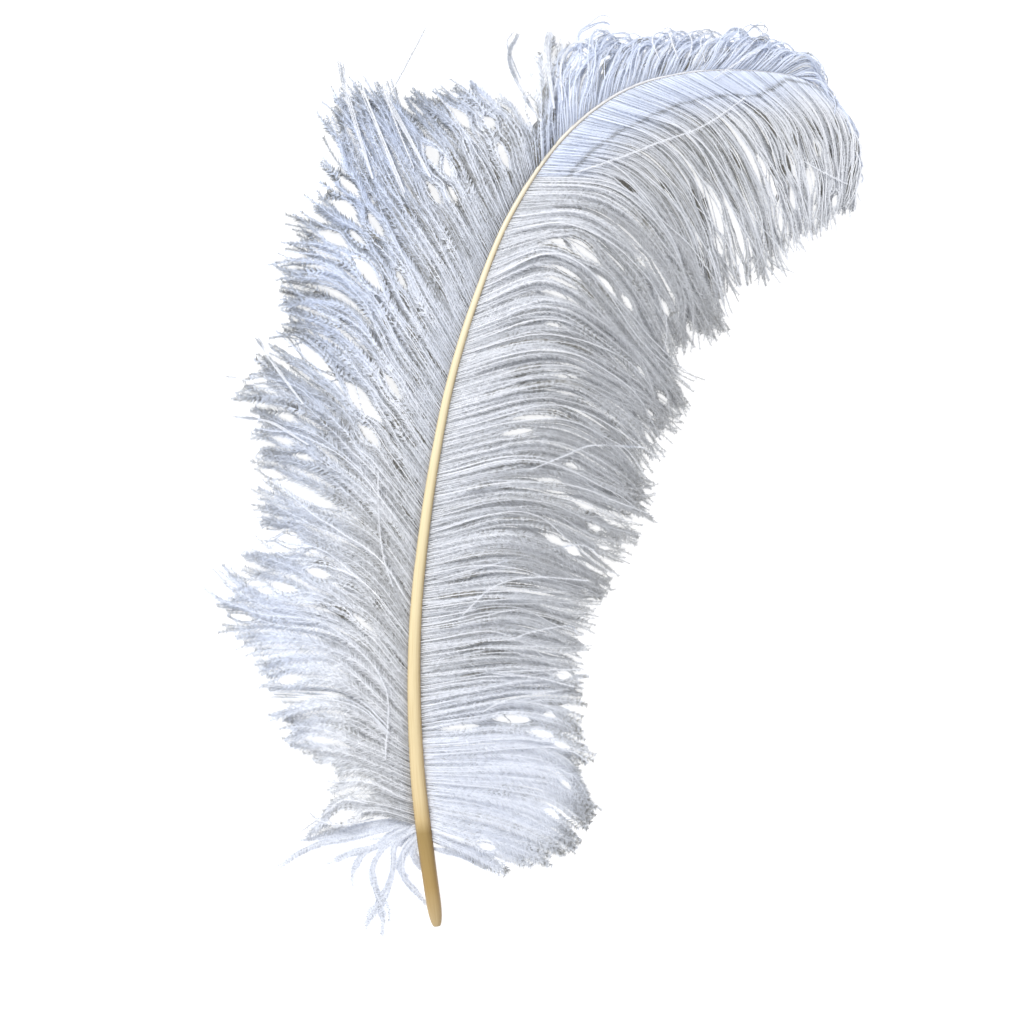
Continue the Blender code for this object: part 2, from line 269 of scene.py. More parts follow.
# ---- Left vane ---------------------------------------------------------------------------
# A row of soft barbs, rooted in the shaft's left side and each edged with fine hairs. Ostrich
# barbs don't hook together, so they drift into tufts and locks that part and hang to the table.
# The picked barbs tell where one starts along the shaft, and the points (x, y) that it passes.
LEFT_BARBS = [
    (56, (-92, -183), (-112, -188), (-134, -200)),
    (66, (-99, -171), (-118, -176)),
    (73, (-97, -160), (-113, -160)),
    (80, (-104, -152), (-137, -146)),
    (96, (-108, -127), (-148, -126)),
    (112, (-112, -96), (-160, -92)),
    (121, (-112, -87), (-184, -72)),
    (131, (-111, -78), (-178, -63)),
    (142, (-106, -68), (-168, -42)),
    (160, (-100, -50), (-150, -28)),
    (182, (-97, -28), (-161, -5)),
    (193, (-95, -16), (-124, 5), (-154, 15)),
    (205, (-93, -5), (-126, 21), (-157, 34)),
    (222, (-107, 30), (-158, 70)),
    (245, (-98, 48), (-138, 82)),
    (277, (-77, 61), (-107, 100), (-142, 117)),
    (300, (-70, 85), (-100, 126), (-136, 141)),
    (311, (-68, 95), (-95, 137), (-113, 160)),
    (322, (-64, 105), (-92, 149), (-115, 192)),
    (336, (-58, 118), (-84, 162), (-109, 216)),
    (348, (-52, 130), (-77, 172), (-100, 214)),
    (374, (-49, 160), (-70, 193), (-88, 208)),
    (400, (-33, 182), (-58, 212)),
    (424, (-16, 198), (-38, 217)),
    (431, (-4, 200), (-10, 208)),
    (437, (3, 206), (6, 246)),
    (450, (11, 210), (19, 234), (33, 242)),
    (479, (36, 221), (44, 236), (60, 242)),
    (515, (72, 238), (86, 247)),
    (549, (110, 240), (124, 250)),
    (582, (145, 235), (161, 218)),
    (612, (168, 203), (177, 171)),
    (638, (178, 180), (176, 160)),
]
# Where the light shows through: middle (x, y), length along the barbs, and width.
LEFT_OPENINGS = [
    (-90, 139, 18, 6), (-94, 114, 28, 7.5), (-105, 163, 17, 5), (-107, 151, 17, 6),
    (-100, 134, 16, 5), (-114, 135, 16, 5), (-114, 183, 20, 5), (-52, 171, 14, 5.5),
    (-139, 76, 20, 6), (-58, 157, 16, 5), (-48, 156, 10, 3), (-59, 179, 16, 6),
    (-28, 197, 9, 5), (-21, 179, 16, 4), (-6, 202, 14, 4), (-76, 110, 12, 3),
    (-43, 200, 14, 5), (-125, 68, 34, 8), (-101, 47, 20, 5),
    (-96, 41, 22, 5), (-93, 25, 16, 8), (-80, 51, 17, 4.5), (-139, 35, 10, 3), (-140, 22, 12, 4),
    (-130, 13, 12, 3), (-147, 4, 13, 4.5), (-139, -32, 15, 9), (-151, -28, 12, 6),
    (-125, -39, 9, 3), (-122, -51, 15, 4.5), (-140, -59, 17, 5), (-152, -61, 10, 4.5),
    (-97, -78, 17, 2.5), (-165, -75, 14, 4.5), (-138, -109, 11, 4.5), (-141, -140, 12, 5),
    (-109, -185, 18, 6),
]
BARB_STEPS = 36           # straight stretches in a barb
HAIR_SPACING = 0.72       # between the fine hairs along a barb
HAIR_WIDTH = 0.45
HAIR_TONES = (0.58, 1.26)    # over the barb's, in pairs
# the dark one of these tones is painted shade between hairs
STARK_TONES = (0.14, 1.08)   # where hairs stand out one by one
DARK_SHARES = (0.12, 0.7)    # of the first and the second of two pairs of hairs
HAIR_LEAN = 0.72          # angle between hair and barb, radians
DROOP = 1.8               # power of the fall towards the tip
STEEPEST_SAG = 0.42       # fall over length
CREST = 2.5               # barbs rise this much before they hang
CREST_REACH = 80          # length from which they rise in full
LOWEST = 0.4              # above the table
WIDEST_SWING = 0.4        # of a tuft
LEAST_CURL = 0.5          # of a tuft's ends, over the common one
SHORT_SHARE = 0.06        # of the barbs are broken short
SLITS_BEGIN = 130         # along the shaft
SLIT_POINTS = 17
SLIT_DEPTH = 0.8          # of the shade in a slit, below the barbs
LOCK_WIDTHS = (8, 18)     # along the shaft
PATCHES = 12              # lighter and darker stretches of a barb
SPECKS = 14
PATCHED = 150             # length over which both are spread
OWN_LIGHT = 0.86          # of a common barb
share = np.linspace(0, 1, BARB_STEPS + 1)


def ramp_up(x, low, high):
    """0 below low, 1 above high, and an even bend between."""
    t = np.clip((x - low) / (high - low), 0, 1)
    return t * t * (3 - 2 * t)


chance = np.random.default_rng(11)


def read_vane(picked):
    """Where the picked barbs start, and their courses from there."""
    starts = np.array([barb[0] for barb in picked], dtype=float)
    courses = []
    for start, *through in picked:
        root = shaft_plan_at(start)
        courses.append(smooth([root, *through], BARB_STEPS + 1) - root)
    return starts, np.array(courses)


def courses_at(vane, starts):
    """Plan courses of barbs that start anywhere on the shaft, read between the picked ones."""
    picked_starts, picked = vane
    below = np.clip(np.searchsorted(picked_starts, starts) - 1, 0, len(picked_starts) - 2)
    span = picked_starts[below + 1] - picked_starts[below]
    weight = np.clip((starts - picked_starts[below]) / span, 0, 1)[:, None, None]
    between = picked[below] * (1 - weight) + picked[below + 1] * weight
    return shaft_plan_at(starts)[:, None] + between


def gather(starts, widths):
    """Split a row of barbs into bunches: each barb's bunch number, and each bunch's middle."""
    edges = [starts[0] - 1]
    while edges[-1] < starts[-1]:
        edges.append(edges[-1] + chance.uniform(*widths))
    bunch = np.searchsorted(edges, starts) - 1
    middles = np.array([starts[bunch == i].mean() if (bunch == i).any() else 0
                        for i in range(len(edges))])
    return bunch, middles


def crown_of(starts, bunch, middles):
    """1 for barbs in the middle of their bunch, 0 at its sides."""
    halves = [max(1, np.ptp(starts[bunch == i]) / 2) if (bunch == i).any() else 1
              for i in range(len(middles))]
    return 1 - ((starts - middles[bunch]) / np.array(halves)[bunch]) ** 2


def open_at(plan, openings, held, crossing=0.15):
    """Push the barbs of a row apart around each opening. Held barbs hardly move, nor does a share
    of the others, which cross it. Returns the new plan, and for each point how near it is to an
    opening's rim, from 0 to 1."""
    plan = plan.copy()
    rim = np.zeros(plan.shape[:2])
    for x, y, length, width in openings:
        away = plan - (x, y)
        distance = np.linalg.norm(away, axis=2)[:, 1:-1]
        barb, step = np.unravel_index(distance.argmin(), distance.shape)
        along = plan[barb, step + 2] - plan[barb, step]
        along /= np.linalg.norm(along)
        across = np.array([-along[1], along[0]])
        u = away @ along
        v = away @ across
        side = np.sign(v[np.arange(len(plan)), np.abs(u).argmin(axis=1)])[:, None]
        still = held | (chance.random(len(plan)) < crossing)
        push = width / 2 * chance.uniform(0.45, 1.15, len(plan)) * np.where(still, 0.15, 1)
        shifted = u + chance.normal(0, 0.08 * length, len(plan))[:, None]
        lens = np.maximum(0, 1 - (2 * shifted / length) ** 2) ** 0.8
        near = np.exp(-np.maximum(0, v * side) / (0.9 * width)) * (np.abs(v) < 6 * width)
        plan += (side * push[:, None] * lens * near)[..., None] * across
        rim = np.maximum(rim, lens * near ** 2)
    return plan, rim


def grow_vane(picked, openings, first, last, ways):
    """One layer of a vane's barbs, gathered in tufts and locks: where they start, their courses
    (x, y, z), and what their looks depend on."""
    vane = read_vane(picked)
    starts = np.arange(first, last, ways["spacing"])
    starts = starts + chance.uniform(-0.3, 0.3, len(starts)) * ways["spacing"]
    count = len(starts)
    lock, lock_middles = gather(starts, LOCK_WIDTHS)
    tuft, tuft_middles = gather(starts, ways["tuft_widths"])
    tufts = len(tuft_middles)
    locks = len(lock_middles)
    loose = chance.random(count) < ways["loose"]
    flat = courses_at(vane, starts)

    # Barbs draw together in tufts and in locks.
    plan = flat
    for bunch, middles, pull in ((tuft, tuft_middles, ways["pull"]),
                                 (lock, lock_middles, ways["lock_pull"])):
        centre = courses_at(vane, middles)[bunch]
        later = chance.uniform(-0.07, 0.07, len(middles))[bunch][:, None]
        force = np.where(loose, 0.1, chance.uniform(0.5, 1.15, len(middles))[bunch])[:, None]
        drawn = np.minimum(0.95, force * np.interp(share[None] - later, *pull)) * ramp_up(share, 0, 0.08)
        plan = plan * (1 - drawn[..., None]) + centre * drawn[..., None]

    # Each barb swings and waves a little, and ends in a curl of its own.
    step = np.diff(plan, axis=1)
    outer = share[1:][None]
    swing = chance.normal(0, ways["lock_swing"], locks)[lock]
    swing += np.clip(chance.normal(0, ways["swing"], tufts), -WIDEST_SWING, WIDEST_SWING)[tuft]
    swing += chance.normal(0, 0.03 * ways["restless"], count)
    swing += np.where(loose, chance.normal(0, 0.18, count), 0)
    turn = swing[:, None] * ramp_up(outer, 0.1, 1)
    for waves in (1.4, 3.1, 5.3):
        phase = (chance.uniform(0, 2 * np.pi, tufts)[tuft] + chance.normal(0, 0.8, count))[:, None]
        swell = ways["restless"] * ways["wander"] * chance.uniform(0.3, 1.2, tufts)[tuft]
        turn = turn + swell[:, None] / waves * np.sin(2 * np.pi * waves * outer + phase) * outer
    curl = np.maximum(chance.normal(0, ways["spread"], tufts), LEAST_CURL - 1)
    hook = ways["hook"](starts) * (1 + curl[tuft])
    hook += ways["restless"] * (chance.normal(0, 0.3, tufts)[tuft] + chance.normal(0, 0.15, count))
    power = ways["power"] * chance.uniform(0.7, 1.3, tufts)[tuft]
    turn = turn + hook[:, None] * outer ** power[:, None]

    # Tufts and single barbs differ in length, and come to a point.
    length = ways["stretch"](starts) - chance.uniform(0, ways["uneven"], tufts)[tuft]
    length -= chance.uniform(0, 0.6 * ways["uneven"], count)
    crown = crown_of(starts, lock, lock_middles)
    tuft_crown = crown_of(starts, tuft, tuft_middles)
    length -= ways["pointed"] * (1 - 0.4 * crown - 0.6 * tuft_crown)
    short = chance.random(count) < SHORT_SHARE
    length = np.where(short, length * chance.uniform(0.6, 0.95, count), length)
    turned = np.stack([step[..., 0] * np.cos(turn) - step[..., 1] * np.sin(turn),
                       step[..., 0] * np.sin(turn) + step[..., 1] * np.cos(turn)], axis=-1)
    turned *= length[:, None, None]
    plan = np.concatenate([plan[:, :1], plan[:, :1] + np.cumsum(turned, axis=1)], axis=1)

    # Light shows through the openings, and shade through the slits.
    margin = 0.5 * ways["reach"]
    wide = [(x, y, long + margin, 0.7 * width + margin) for x, y, long, width in openings]
    plan, rim = open_at(plan, wide + wide, loose, ways["crossing"])
    slits = ways["slits"]
    slit_barbs = chance.integers(np.searchsorted(starts, SLITS_BEGIN), count, slits)
    slit_steps = (BARB_STEPS * chance.uniform(*ways["slit_shares"], slits)).astype(int)
    slit_sizes = np.column_stack([chance.uniform(*ways["slit_lengths"], slits),
                                  chance.uniform(*ways["slit_widths"], slits)])
    unslit = plan
    slit_middles = plan[slit_barbs, slit_steps]
    plan, slit_rim = open_at(plan, np.column_stack([slit_middles, slit_sizes]), loose)
    rim = np.maximum(rim, slit_rim)

    # Height: out of the shaft's side, over a low crest, and down to the table.
    reach = np.linalg.norm(turned, axis=2).sum(axis=1)
    root = shaft_height(starts)
    low = np.maximum(0.5, root - STEEPEST_SAG * reach)
    tip = low + np.abs(chance.normal(0, 1.5, tufts))[tuft] + np.abs(chance.normal(0, 0.7, count))
    rise = CREST * np.minimum(1, reach / CREST_REACH)[:, None] * np.sin(np.pi * share ** 0.6)[None]
    height = tip[:, None] + (root - tip)[:, None] * (1 - share[None] ** DROOP) + rise
    thick = shaft_width(starts)[:, None]
    height -= 0.2 * thick * (1 - ramp_up(share[None] * reach[:, None], 0.3 * thick, 1.2 * thick))
    level = chance.normal(0, 1.0, tufts)[tuft]
    specks = chance.uniform(0, 1, (tufts, SPECKS))[tuft] ** 4
    odd = np.where(np.arange(count) % 2, -0.5, 0.5)
    lift = chance.normal(0, 0.9, locks)[lock] + 1.4 * crown + 1.0 * level + chance.normal(0, 0.4, count)
    lift += 1.2 * tuft_crown
    lift += np.where(loose, 3, 0)
    settled = 1 - ways["settle"] * ramp_up(share, 0.4, 0.8)
    height += lift[:, None] * (settled * np.sin(np.pi * share ** 0.8))[None]
    height += odd[:, None] * (1 - share[None]) * ramp_up(share, 0, 0.05)[None]
    height -= ways["depth"] * ramp_up(share, 0, 0.05)[None]
    height = np.maximum(height, LOWEST)

    # Painted light and shade: barbs raised in the middle of a bunch, or lying higher by turns, are
    # painted lighter as if more lit, lower ones darker as if in shade, and loose ones, which lie highest,
    # lightest. A little tone of their own differs at random.
    light = OWN_LIGHT + 0.06 * odd + 0.04 * level + 0.04 * (crown - 0.6) + 0.10 * (tuft_crown - 0.6)
    light += chance.normal(0, 0.04, count)
    light = np.where(loose, 1, np.clip(light, 0.5, 1))

    shaded = []
    for barb, middle, (long, width) in zip(slit_barbs, slit_steps, slit_sizes):
        stretch = np.linalg.norm(plan[barb, middle + 1] - plan[barb, middle])
        half = int(np.ceil(long / 2 / stretch))
        part = slice(max(1, middle - half), min(BARB_STEPS, middle + half) + 1)
        line = np.column_stack([unslit[barb, part], height[barb, part] - SLIT_DEPTH])
        shaded.append((starts[barb], smooth(line, SLIT_POINTS), width))
    return {"starts": starts, "courses": np.concatenate([plan, height[..., None]], axis=2),
            "light": light, "loose": loose, "fans": np.linalg.norm(np.gradient(flat, axis=0), axis=2),
            "rim": rim, "crown": 0.4 * crown + 0.6 * tuft_crown, "specks": specks, "shaded": shaded}


def sides_of(course):
    """Level unit vectors ahead, and to the left, at each point of a course."""
    ahead = np.gradient(course[:, :2], axis=0)
    ahead /= np.linalg.norm(ahead, axis=1)[:, None] + 1e-9
    return ahead, np.column_stack([-ahead[:, 1], ahead[:, 0], np.zeros(len(course))])


def strand_parts(course, bare, light, cool, chance, hair, widths, ridge_tone=1.0,
                 crisp=np.ones_like, even=np.zeros_like, stark=np.zeros_like, lean=HAIR_LEAN,
                 spacing=HAIR_SPACING, fall=0.0):
    """One barb: a ridged ribbon along its course, and hairs in two rows beside it from where it
    stops being bare. Light and cool give its lightness and blueness at distances from its root,
    crisp how sharp the ridge is, even how alike its hairs are, and stark how far they stand out
    one by one. Returns points, triangles, places on the flat map, lightness and blueness."""
    ahead, left = sides_of(course)
    steps = len(course) - 1
    run = run_along(course)
    hair = np.broadcast_to(hair, steps + 1)
    width = np.linspace(*widths, steps + 1)[:, None]
    ridge = course + [0, 0, 1] * width * (0.1 + 0.4 * crisp(run)[:, None])
    ribbon = np.stack([course - left * width / 2, ridge, course + left * width / 2], axis=1)
    points = [ribbon.reshape(-1, 3)]
    k = np.arange(steps)[:, None] * 3
    triangles = [np.concatenate([k + three for three in ((0, 3, 4), (0, 4, 1), (1, 4, 5), (1, 5, 2))])]
    maps = [np.stack([np.repeat(run / run[-1], 3), np.tile([-0.08, 0, 0.08], steps + 1)], axis=1)]
    lights = [np.repeat(ridge_tone * light(run) * chance.uniform(0.92, 1.08, steps + 1), 3)]
    cools = [np.repeat(cool(run), 3)]

    count = max(6, int((run[-1] - bare) / spacing))
    feet = np.linspace(bare, run[-1] - spacing, count)
    spots = np.stack([feet, feet + HAIR_WIDTH * (1 + 0.7 * stark(feet))], axis=1)
    line = np.stack([np.interp(spots, run, axis) for axis in course.T], axis=2)
    way = np.stack([np.interp(feet, run, axis) for axis in ahead.T], axis=1)
    grown = ramp_up(feet, bare - 2, bare + 8) * (1 - 0.35 * ramp_up(feet / run[-1], 0.85, 1))
    for side in (-1, 1):
        size = np.interp(feet, run, hair) * (0.12 + 0.88 * grown) * chance.uniform(0.6, 1.15, count)
        turn = lean + 0.35 * stark(feet) + chance.normal(0, 0.13, count)
        normal = np.stack([-way[:, 1], way[:, 0]], axis=1) * side
        out = way * np.cos(turn)[:, None] + normal * np.sin(turn)[:, None]
        ends = line[:, 0] + np.column_stack([out, chance.normal(-fall, 0.18, count)]) * size[:, None]
        ends[:, 2] = np.maximum(ends[:, 2], 0.1)
        triangles.append(sum(len(group) for group in points) + np.arange(3 * count).reshape(-1, 3))
        points.append(np.stack([line[:, 0], line[:, 1], ends][::side], axis=1).reshape(-1, 3))
        place = np.stack([spots[:, 0], spots[:, 1], spots.mean(axis=1)][::side], axis=1) / run[-1]
        across = np.tile([0.12 * side, 0.12 * side, 0.46 * side][::side], count)
        maps.append(np.stack([place.ravel(), across], axis=1))
        pairs = count // 2 + 1
        tone = np.repeat(chance.uniform(*HAIR_TONES, pairs), 2)[:count]
        tone += (0.93 - tone) * even(feet)
        dark = chance.random(pairs) < np.resize(DARK_SHARES, pairs)
        bold = np.repeat(np.where(dark, *STARK_TONES), 2)[:count]
        tone = light(feet) * (tone + (bold - tone) * stark(feet))
        lights.append(np.repeat(tone, 3) * np.tile([0.92, 0.92, 1.05][::side], count))
        cools.append(np.repeat(cool(feet), 3))
    return [np.concatenate(numbers) for numbers in (points, triangles, maps, lights, cools)]


def shade_strand(course, widths, tones):
    """A flat dim ribbon that stands for the shaded barbs beneath."""
    left = sides_of(course)[1]
    half = widths[:, None] / 2
    points = np.stack([course - left * half, course + left * half], axis=1).reshape(-1, 3)
    points[:, 2] = np.maximum(points[:, 2], 0.2)
    k = np.arange(len(course) - 1)[:, None] * 2
    triangles = np.concatenate([k + (0, 2, 3), k + (0, 3, 1)])
    run = run_along(course)
    maps = np.stack([np.repeat(run / run[-1], 2), np.tile([-0.4, 0.4], len(course))], axis=1)
    return points, triangles, maps, np.repeat(tones, 2), np.full(len(points), 0.1)


def plume_white():
    """Soft white keratin that a little light passes through, with a painted bluish tint in places, which
    stands for cool sky light on its tips and shaded parts.
    """
    material = bpy.data.materials.new("plume_white")
    material.use_nodes = True
    tree = material.node_tree
    shader = tree.nodes["Principled BSDF"]
    shader.inputs["Roughness"].default_value = 0.5
    colour = colours_by(tree, "light", [
        (0.0, (0.08, 0.075, 0.06)), (0.3, (0.29, 0.285, 0.265)), (0.6, (0.61, 0.62, 0.635)),
        (0.8, (0.86, 0.875, 0.90)), (1.0, (0.98, 0.985, 1.0))])
    # painted sky light: a bluish tint, as far as the cool number tells
    colour = tinted(tree, colour, (0.78, 0.85, 1.0), attribute_of(tree, "cool"))
    tree.links.new(colour, shader.inputs["Base Color"])
    through = node_of(tree, "ShaderNodeBsdfTranslucent")
    tree.links.new(colour, through.inputs["Color"])
    both = node_of(tree, "ShaderNodeMixShader")
    both.inputs["Fac"].default_value = 0.15
    tree.links.new(shader.outputs["BSDF"], both.inputs[1])
    tree.links.new(through.outputs["BSDF"], both.inputs[2])
    tree.links.new(both.outputs["Shader"], tree.nodes["Material Output"].inputs["Surface"])
    return material


white = plume_white()


def join_strands(name, strands):
    """Strands as one piece, each with its own row of the flat map."""
    points, triangles, maps, lights, cools = zip(*strands)
    sizes = [len(group) for group in points]
    before = np.cumsum([0, *sizes[:-1]])
    triangles = np.concatenate([group + first for group, first in zip(triangles, before)])
    row = np.repeat(np.arange(len(strands)), sizes)
    bake_map = np.concatenate(maps)
    bake_map[:, 0] = 0.004 + 0.992 * bake_map[:, 0]
    bake_map[:, 1] = (row + 0.5 + bake_map[:, 1]) / len(strands)
    values = {"light": np.concatenate(lights), "cool": np.concatenate(cools)}
    piece = link_mesh(name, np.concatenate(points), triangles, white, values, bake_map)
    print(name, len(strands), "strands", len(triangles), "triangles")


def vane_piece(name, layers, first, last):
    """The barbs of a vane that start between two distances as one piece, each layer in turn, with dim
    ribbons of painted shade in the slits and beneath the barbs of the lower layer."""
    strands = []
    for grown, looks in layers:
        for i in np.flatnonzero((grown["starts"] >= first) & (grown["starts"] < last)):
            start = grown["starts"][i]
            own = grown["light"][i] - OWN_LIGHT
            course = grown["courses"][i]
            rim = grown["rim"][i]
            crown = grown["crown"][i]
            specks = grown["specks"][i]
            run = run_along(course)
            loose = grown["loose"][i]
            patches = chance.uniform(*looks["patches"](start), PATCHES)
            # painted highlight: loose barbs, and a share of the others, get a lighter ridge
            ridge_tone = 1.08 if loose or chance.random() < looks["bright"] else looks["ridge_tone"]
            fade = 0 if loose else looks["fade"](start)
            spread = np.clip(grown["fans"][i] / looks["spacing"], 1, 1.5)
            hair = looks["hair"] * spread * (1 - 0.65 * rim)

            # How its looks change with the distance from its root.
            def end(d):
                return looks["tip"](start) * ramp_up(d / run[-1], *looks["tip_shares"]) * (not loose)

            def light(d):
                far = 1 - fade * ramp_up(d, 25, 65)
                tone = (OWN_LIGHT + own * far) * looks["light"](start, d) * (1 - 0.35 * end(d))
                return tone * (1 + (np.interp(d, np.linspace(0, PATCHED, PATCHES), patches) - 1) * far)

            # Painted shade: hairs at the sides of a bunch and round the rims of openings and slits stand
            # out one by one, many of them dark, as where shade falls; hairs towards the tip do so too.
            def stark(d):
                side = looks["sides"](start) * (1 - crown) * ramp_up(d, 12, 35)
                side = side * np.interp(d, np.linspace(0, PATCHED, SPECKS), specks)
                around = looks["rim"] * np.interp(d, run, rim)
                return np.minimum(1, np.maximum(np.maximum(side, 0.6 * end(d)), around)) * (not loose)

            def told(word):
                return lambda d: looks[word](start, d)

            strands.append(strand_parts(course, shaft_width(start) / 2 + 0.8, light, told("cool"), chance,
                                        looks["loose_hair"] * looks["hair"] if loose else hair,
                                        looks["widths"], ridge_tone, told("crisp"), told("even"), stark,
                                        looks["lean"](start), fall=looks["fall"](start)))
            if looks["shade"]:
                keep = int(looks["shade_share"] * BARB_STEPS) + 1
                narrowing = 1 - ramp_up(run[:keep] / run[keep - 1], 0.85, 1) ** 2
                widths = np.clip(grown["fans"][i, :keep], 1.3, 4) * chance.uniform(1.05, 1.35) * narrowing
                widths = widths * (1 - 0.95 * np.minimum(1, 2.2 * rim[:keep])) + 0.1
                flecks = np.where(chance.random(keep) < 0.15, 0.65, chance.uniform(0.9, 1.1, keep))
                tones = looks["shade"](start, run[:keep]) * chance.uniform(0.8, 1.2) * flecks
                strands.append(shade_strand(course[:keep] - (0, 0, 1), widths, tones))
        for start, line, width in grown["shaded"]:
            if first <= start < last:
                lens = np.sin(np.pi * np.linspace(0, 1, len(line))) ** 0.7
                tones = chance.uniform(*looks["slit_tones"]) * chance.uniform(0.5, 1.5, len(line))
                line = line + (0, 0, looks["slit_lift"](start))
                rough = chance.uniform(0.3, 1.2, len(line))
                strands.append(shade_strand(line, (width + 0.6) * lens * rough + 0.1, tones))
    join_strands(name, strands)


def upper(start):
    """0 at the left vane's foot and 1 above its middle, where it is rougher and bluer."""
    return ramp_up(start, 180, 280)


def left_cool(start, d):
    """Painted sky light: bluer towards the edge and the tip, and where the curls begin."""
    high = 0.3 * ramp_up(start, 180, 320) * ramp_up(-start, -440, -420)
    curls = 0.7 * ramp_up(start, 420, 440) * ramp_up(-d, -60, -10)
    return 0.15 + 0.55 * ramp_up(d, 30, 105) + high + curls


def left_light(start, d):
    """Painted shade: a little greyer near the shaft, where the barbs rise from it to their crest. Greyer
    too at the edge above the middle.
    """
    edge = 0.18 * ramp_up(start, 150, 240) * ramp_up(d, 55, 85)
    middle = 0.05 * ramp_up(start, 110, 170)
    top = 0.19 * ramp_up(start, 200, 280) - 0.14 * ramp_up(start, 330, 390)
    top += 0.08 * ramp_up(start, 418, 432)
    return 0.90 + 0.14 * ramp_up(d, 10, 60) - edge - middle + top


# The upper and the lower layer: how the barbs lie, and how they look. Sizes are in millimetres,
# angles in radians, and the rest are shares. A pull tells how near barbs come to the middle of
# their tuft or lock at shares of their length; s is where a barb starts along the shaft.
LEFT_UPPER = {
    "spacing": 1.05, "depth": 0, "tuft_widths": (2.5, 8), "lock_pull": ([0.4, 1], [0, 0.28]),
    "pull": ([0.1, 0.4, 0.8, 1], [0, 0.4, 0.6, 0.85]), "loose": 0.04, "lock_swing": 0.02, "swing": 0.05,
    "restless": 1.2, "wander": 0.3, "hook": lambda s: 0.1 + 0 * s, "spread": 0.2, "power": 6,
    "stretch": lambda s: np.interp(s, [200, 340], [1.12, 1.15]), "uneven": 0.10, "pointed": 0.08,
    "settle": 0, "reach": 3, "crossing": 0.15, "slits": 250, "slit_shares": (0.08, 0.7),
    "slit_lengths": (6, 18), "slit_widths": (0.6, 1.7), "slit_tones": (0.0, 0.16),
    "slit_lift": lambda s: 0.6 * upper(s), "light": left_light, "cool": left_cool,
    "crisp": lambda s, d: 1 - 0.7 * ramp_up(d, 8, 25) * (1 - upper(s)),
    "even": lambda s, d: 0.2 - 0.3 * upper(s), "bright": 0.3, "ridge_tone": 0.97,
    "fade": lambda s: 0.6 - 0.2 * upper(s), "widths": (0.40, 0.26), "hair": 3.0, "loose_hair": 0.8,
    "patches": lambda s: (0.86 - 0.05 * upper(s), 1.08 + 0.02 * upper(s)),
    "lean": lambda s: 0.66 - 0.14 * upper(s), "fall": lambda s: 0.05 * upper(s),
    "tip": lambda s: 0.5 + 0.3 * ramp_up(s, 150, 260) - 0.65 * ramp_up(s, 416, 430),
    "tip_shares": (0.78, 0.97), "sides": lambda s: 0.7 + 2.5 * ramp_up(s, 150, 280), "rim": 0.8,
    "shade": None}
# The lower layer is painted darker than the upper one: painted shade beneath it.
LEFT_LOWER = LEFT_UPPER | {
    "spacing": 1.6, "depth": 1.6, "pull": ([0.1, 0.5, 1], [0, 0.15, 0.2]),
    "lock_pull": ([0.4, 1], [0, 0.1]), "loose": 0, "lock_swing": 0.01, "swing": 0.02, "restless": 0.4,
    "stretch": lambda s: LEFT_UPPER["stretch"](s) - 0.04, "slits": 0, "reach": 4, "hair": 3.4,
    "light": lambda s, d: (0.84 - 0.2 * upper(s)) * left_light(s, d),
    "shade": lambda s, d: 0.65 - 0.35 * ramp_up(s, 120, 260) + 0 * d, "shade_share": 0.6}


def plant_vane(name, picked, openings, first, last, cuts, layers):
    """Grow the layers of a vane between two distances along the shaft, and make it in pieces
    that are cut at more distances."""
    grown = [(grow_vane(picked, openings, first, last, ways), ways) for ways in layers]
    edges = [0, *cuts, SHAFT_LENGTH]
    for i, (low, high) in enumerate(zip(edges, edges[1:])):
        vane_piece(f"{name}_{i + 1}", grown, low, high)
    return grown


left_vane = plant_vane("left_vane", LEFT_BARBS, LEFT_OPENINGS, 56, 446, (160, 260, 350),
                       (LEFT_UPPER, LEFT_LOWER))

# ---- Curls along the top -----------------------------------------------------------------
# The left row of barbs goes on round the bend of the shaft. They are as soft and as firmly
# rooted there, but barer, and each curls over at its end in a loop at the plume's upper edge.


def top_light(start, d):
    """A little greyer at the root."""
    return 1.0 - 0.1 * ramp_up(-d, -12, 0)


TOP_UPPER = LEFT_UPPER | {
    "pull": ([0.1, 0.7], [0, 0.4]), "lock_pull": ([0.3, 0.8], [0, 0.3]), "loose": 0.1,
    "lock_swing": 0.04, "swing": 0.26, "restless": 1, "wander": 1.1,
    "hook": lambda s: np.interp(s, [446, 560, 620], [-4.0, -3.5, -0.6]), "spread": 0.35, "power": 4.5,
    "stretch": lambda s: np.interp(s, [446, 560, 620], [1.38, 1.40, 0.88]), "pointed": 0,
    "slits": 40, "slit_shares": (0.1, 0.6), "slit_lengths": (4, 12), "slit_widths": (0.6, 1.4),
    "slit_tones": (0.1, 0.4), "slit_lift": lambda s: 0, "light": top_light,
    "cool": lambda s, d: 0.85 + 0 * d, "crisp": lambda s, d: 0.4 + 0 * d,
    "even": lambda s, d: 0.75 + 0 * d, "bright": 1, "ridge_tone": 1, "fade": lambda s: 0,
    "widths": (0.50, 0.36), "hair": 1.6, "loose_hair": 0.6, "patches": lambda s: (0.9, 1.06),
    "lean": lambda s: 0.6, "fall": lambda s: 0, "tip": lambda s: 0.3, "tip_shares": (0.5, 0.8),
    "sides": lambda s: 0.5, "rim": 1}
# painted shade: the lower layer of curls is painted darker
TOP_LOWER = TOP_UPPER | {
    "spacing": 1.8, "depth": 1.2, "loose": 0, "swing": 0.08, "slits": 0,
    "light": lambda s, d: 0.88 * top_light(s, d), "shade": lambda s, d: 0.85 + 0 * d, "shade_share": 0.5}
top_vane = plant_vane("top_vane", LEFT_BARBS, [], 446, 641, (), (TOP_UPPER, TOP_LOWER))

